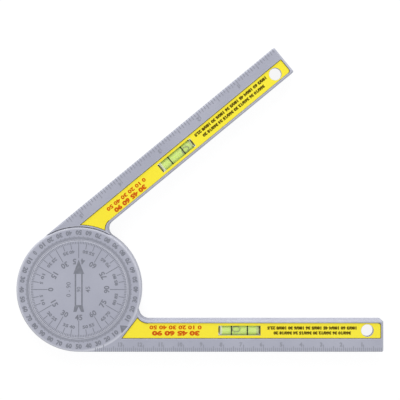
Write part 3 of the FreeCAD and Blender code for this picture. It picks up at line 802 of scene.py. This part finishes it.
vials = {
    "middle": (vialLow.x + vialHigh.x) / 2,
    "halfLength": (vialHigh.x - vialLow.x) / 2,
    "linesApart": 8.0 * mm,
    "lineWidth": 0.62 * mm,
    "lineProud": 0.021 * mm,
    "lineSunk": 0.009 * mm,
    "lineSteps": 48,
    "beadHalf": (0.42 * mm, 2.35 * mm, 1.5 * mm),
    "beadUp": 1.2 * mm,
    "beadFaces": (20, 12),
    # the painted dark oval of the bubble's edge
    "darkOvalHalf": (1.9 * mm, 1.35 * mm),
    "darkOvalFromAxis": 3.1 * mm,
    "darkOvalAside": 0.6 * mm,
    "darkOvalRadius": 0.34 * mm,
    "darkOvalFaces": (8, 36),
    "scaleBubble": -1.7 * mm,
    "dialBubble": 5.2 * mm,
}


def vialPlace(side, shift, up):
    # a place over the tube's axis: shift along it from its middle, up from it
    return armPlace(side, vials["middle"] + shift, labelMiddle, vialLevel + up)


def makeVialLines(name, side, body):
    # two printed bands round the tube
    half = vials["lineWidth"] / 2
    low = vialRadius - vials["lineSunk"]
    high = vialRadius + vials["lineProud"]
    bm = bmesh.new()
    for middle in (-vials["linesApart"] / 2, vials["linesApart"] / 2):
        section = ((-half, low), (half, low), (half, high), (-half, high))
        corners = [bm.verts.new((middle + x, 0, z)) for x, z in section]
        edges = [bm.edges.new((corners[i - 1], corners[i])) for i in range(4)]
        bmesh.ops.spin(bm, geom=edges + corners, cent=(0, 0, 0), axis=(1, 0, 0), angle=2 * math.pi,
                       steps=vials["lineSteps"], use_merge=True)
    bmesh.ops.transform(bm, matrix=vialPlace(side, 0, 0), verts=bm.verts)
    finishPiece(name, bm, body, "vialInk")


def makeGlueBeads(name, side, body):
    # the beads that hold the tube, in the gaps between its ends and the window's
    across, up = vials["beadFaces"]
    shape = Matrix.Diagonal((*vials["beadHalf"], 1))
    bm = bmesh.new()
    for end in (-1, 1):
        place = vialPlace(side, end * (vials["halfLength"] + vials["beadHalf"][0]), vials["beadUp"])
        bmesh.ops.create_uvsphere(bm, u_segments=across, v_segments=up, radius=1, matrix=place @ shape)
    finishPiece(name, bm, body, "curedGlue")


def makeBubbleSkin(name, side, body, shift):
    # painted shade: a dark oval stands for the bubble's edge, laid round the tube in its wall
    section, around = vials["darkOvalFaces"]
    halfLength, halfWidth = vials["darkOvalHalf"]
    upright = Matrix.Translation((1, 0, 0)) @ Matrix.Rotation(math.pi / 2, 4, "X")
    bm = bmesh.new()
    bmesh.ops.create_circle(bm, segments=section, radius=vials["darkOvalRadius"], matrix=upright)
    bmesh.ops.spin(bm, geom=bm.edges[:] + bm.verts[:], cent=(0, 0, 0), axis=(0, 0, 1), angle=2 * math.pi,
                   steps=around, use_merge=True)
    for vert in bm.verts:
        # stretch the ring of radius 1 m into the small oval without thickening it
        centre = Vector((vert.co.x, vert.co.y, 0)).normalized()
        oval = Vector((centre.x * halfLength, centre.y * halfWidth, 0))
        vert.co = oval + (vert.co - centre)
        vert.co.y -= side * vials["darkOvalAside"]
        vert.co.z += math.sqrt(vials["darkOvalFromAxis"] ** 2 - vert.co.y ** 2)
    bmesh.ops.transform(bm, matrix=vialPlace(side, shift, 0), verts=bm.verts)
    finishPiece(name, bm, body, "paintedBubbleEdge")


makeOuterScale()
makeInnerScale()
makeDialArrow()
makeRuler("metricRuler", -1, fixedBody, rulers["metric"])
makeRuler("inchRuler", 1, swingBody, rulers["inch"])
for arm, side, body in (("scale", -1, fixedBody), ("dial", 1, swingBody)):
    makeLabelPrint(arm + "Label", side, body, labelPrint[arm + "Rows"])
    makeLabelBorder(arm + "LabelBorder", side, arm + "_label", body)
    makeVialLines(arm + "VialLines", side, body)
    makeGlueBeads(arm + "VialGlue", side, body)
    makeBubbleSkin(arm + "PaintedBubbleEdge", side, body, vials[arm + "Bubble"])
print("prints made")


studio = {
    "floorHalf": 3.0,
    "floorColour": (0.86, 0.86, 0.865),
    "floorSeen": (0.14, 0.14, 0.141),
    "floorGlow": 0.9,
    "floorRough": 0.9,
    "floorDrop": 0.05 * mm,
    "world": 0.63,
    # the rim lamp stands low, at the picture's top
    "lamps": {
        "keyLamp": {"power": 8.0, "size": 0.9, "place": (-0.1, 1.1, 0.62)},
        "fillLamp": {"power": 2.0, "size": 1.0, "place": (0.7, -0.5, 0.9)},
        "rimLamp": {"power": 4.0, "size": 0.6, "place": (-0.1, 1.2, 0.24)},
    },
}


def makeFloor():
    material, tree, shader, _ = startMaterial("paleFloor")
    shader.inputs["Roughness"].default_value = studio["floorRough"]
    shader.inputs["Specular IOR Level"].default_value = 0.0
    # seen directly, most of its white is its own, so that the shadows stay faint
    seen = addSeenMask(tree)
    tree.links.new(addBlend(tree, seen, studio["floorColour"], studio["floorSeen"]),
                   shader.inputs["Base Color"])
    shader.inputs["Emission Color"].default_value = (1, 1, 1, 1)
    tree.links.new(addMath(tree, "MULTIPLY", seen, studio["floorGlow"]), shader.inputs["Emission Strength"])
    bm = bmesh.new()
    bmesh.ops.create_grid(bm, x_segments=1, y_segments=1, size=studio["floorHalf"])
    bmesh.ops.translate(bm, verts=bm.verts, vec=(0, 0, -studio["floorDrop"]))
    mesh = bpy.data.meshes.new("floor")
    bm.to_mesh(mesh)
    bm.free()
    mesh.materials.append(material)
    floor = bpy.data.objects.new("floor", mesh)
    bpy.context.scene.collection.objects.link(floor)


def makeLamp(name, power, size, place, target):
    data = bpy.data.lights.new(name, "AREA")
    data.energy = power
    data.shape = "SQUARE"
    data.size = size
    lamp = bpy.data.objects.new(name, data)
    lamp.location = place
    lamp.rotation_euler = (target - Vector(place)).to_track_quat("-Z", "Y").to_euler()
    bpy.context.scene.collection.objects.link(lamp)


def makeWorld():
    # white where it is seen, and dimmer as a light
    world = bpy.data.worlds.new("studio")
    bpy.context.scene.world = world
    world.use_nodes = True
    tree = world.node_tree
    brighter = addMath(tree, "MULTIPLY", addSeenMask(tree), 1 - studio["world"])
    strength = addMath(tree, "ADD", brighter, studio["world"])
    tree.links.new(strength, tree.nodes["Background"].inputs["Strength"])
    tree.nodes["Background"].inputs["Color"].default_value = (1, 1, 1, 1)


photo = {
    "width": 400,
    "pivotPixel": (78.7, 289.5),
    "pixelsPerMetre": 2000.0,
    "overAcross": 66 * mm,  # the lens looks straight down on a line this far above the pivot
    "heightOverFace": 0.477,
    "sensor": 36.0,
    "clipStart": 0.01,
}


def makeCamera():
    # straight down on the face, shifted so that the frame lies as the photograph's does
    half = photo["width"] / 2
    middle = ((half - photo["pivotPixel"][0]) / photo["pixelsPerMetre"],
              (photo["pivotPixel"][1] - half) / photo["pixelsPerMetre"])
    frameWidth = photo["width"] / photo["pixelsPerMetre"]
    data = bpy.data.cameras.new("camera")
    data.sensor_width = photo["sensor"]
    data.lens = photo["sensor"] * photo["heightOverFace"] * photo["pixelsPerMetre"] / photo["width"]
    data.shift_y = (middle[1] - photo["overAcross"]) / frameWidth
    data.clip_start = photo["clipStart"]
    camera = bpy.data.objects.new("camera", data)
    camera.location = (middle[0], photo["overAcross"], faceLevel + photo["heightOverFace"])
    bpy.context.scene.collection.objects.link(camera)
    bpy.context.scene.camera = camera


target = (cadBox[0] + cadBox[1]) / 2
makeFloor()
makeWorld()
for name, lamp in studio["lamps"].items():
    makeLamp(name, lamp["power"], lamp["size"], lamp["place"], target)
makeCamera()
bpy.context.scene.view_settings.view_transform = "Standard"
print("studio set")
